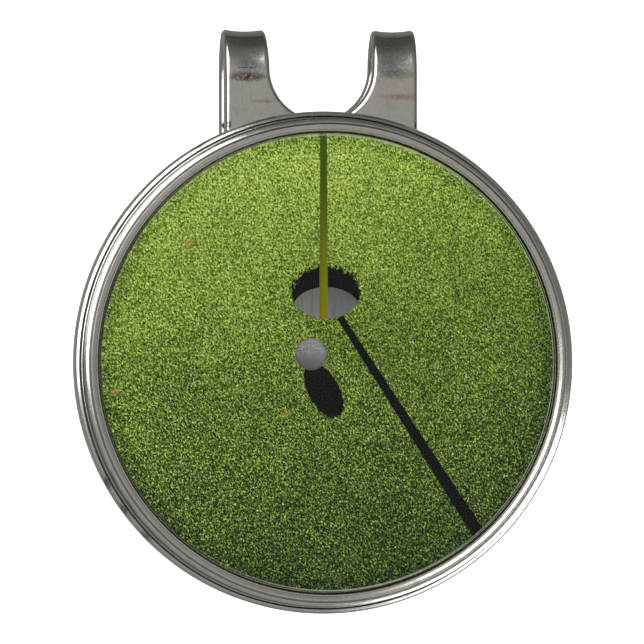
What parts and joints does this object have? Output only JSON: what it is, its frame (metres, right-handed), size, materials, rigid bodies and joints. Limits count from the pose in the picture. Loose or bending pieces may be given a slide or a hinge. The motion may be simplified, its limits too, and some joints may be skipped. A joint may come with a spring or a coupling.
{
  "type": "golf ball marker with hat clip",
  "caption": "Round golf ball marker with a printed, clear-domed face, held by a magnet in the shallow cup of a two-armed spring-metal hat clip.",
  "frame": {"origin": "on the marker's axis, on the flat back of the clip's tongue", "axes": "+Z along the marker's axis towards its face, +Y towards the clip's two bent arms, +X to the right seen from the face"},
  "size_m": [0.026, 0.0304, 0.0066],
  "materials": {
    "clip_plating": "bright nickel plating over pressed sheet, with faint rolling marks and tarnish near the bends",
    "cup_plating": "bright nickel plating, rounded lip",
    "marker_plating": "bright nickel plating over a stepped rim",
    "magnet_plating": "satin plated magnet",
    "solder_metal": "dull grey solder",
    "glue": "thin hardened adhesive",
    "print": "colour print of a putting green",
    "clear_resin": "clear cast resin dome"
  },
  "bodies": {
    "clip": {"front_plate": "clip_plating", "spring_bends": "clip_plating", "solder": "solder_metal", "cup": "cup_plating", "magnet_adhesive": "glue", "magnet": "magnet_plating"},
    "tongue_body": {"tongue": "clip_plating"},
    "marker": {"marker_body": "marker_plating", "print_adhesive": "glue", "printed_insert": "print", "dome": "clear_resin"}
  },
  "joints": [
    {"name": "tongue_flex", "type": "hinge", "parent": "clip", "child": "tongue_body", "pos_m": [0, 0.01494, 0.0016], "axis": [1, 0, 0], "range_deg": [-1.5, 8], "stiffness_Nm_per_rad": 4, "deforming": ["spring_bends"]},
    {"name": "marker_lift", "type": "slide", "parent": "clip", "child": "marker", "axis": [0, 0, 1], "range_m": [0, 0.012]}
  ]
}
